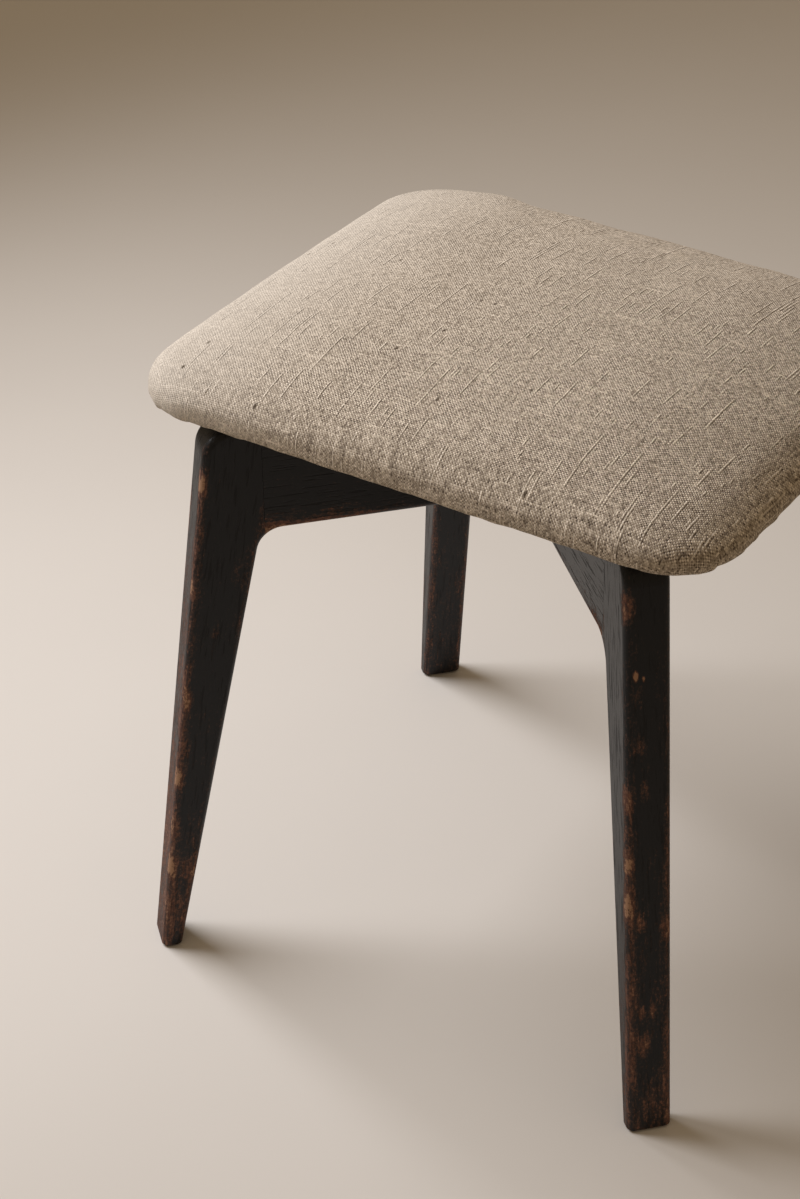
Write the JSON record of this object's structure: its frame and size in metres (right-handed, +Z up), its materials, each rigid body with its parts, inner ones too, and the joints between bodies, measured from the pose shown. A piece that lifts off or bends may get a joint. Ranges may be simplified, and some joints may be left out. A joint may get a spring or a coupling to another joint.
{
  "type": "upholstered stool",
  "caption": "Low fixed stool: splayed tapered legs on crossing diagonal rails in worn black timber, under a shallow crowned rectangular seat covered in coarse natural linen.",
  "frame": {"origin": "on the floor, under the middle of the seat", "axes": "+Z up, +X along the longer side of the seat, -Y towards the front"},
  "size_m": [0.4346, 0.4098, 0.4609],
  "materials": {
    "black_timber": "satin",
    "dowel_wood": "matte",
    "plywood": "matte",
    "foam": "matte",
    "wadding": "matte",
    "linen": "matte",
    "blued_steel": "satin",
    "zinc_steel": "satin"
  },
  "bodies": {
    "root": {"leg_front_right": "black_timber", "dowels_front_right": "dowel_wood", "leg_back_right": "black_timber", "dowels_back_right": "dowel_wood", "leg_back_left": "black_timber", "dowels_back_left": "dowel_wood", "leg_front_left": "black_timber", "dowels_front_left": "dowel_wood", "rail_lower": "black_timber", "rail_upper": "black_timber", "seat_board": "plywood", "seat_foam": "foam", "seat_wadding": "wadding", "seat_cover": "linen", "cover_tacks": "blued_steel", "seat_screws": "zinc_steel"}
  },
  "joints": []
}
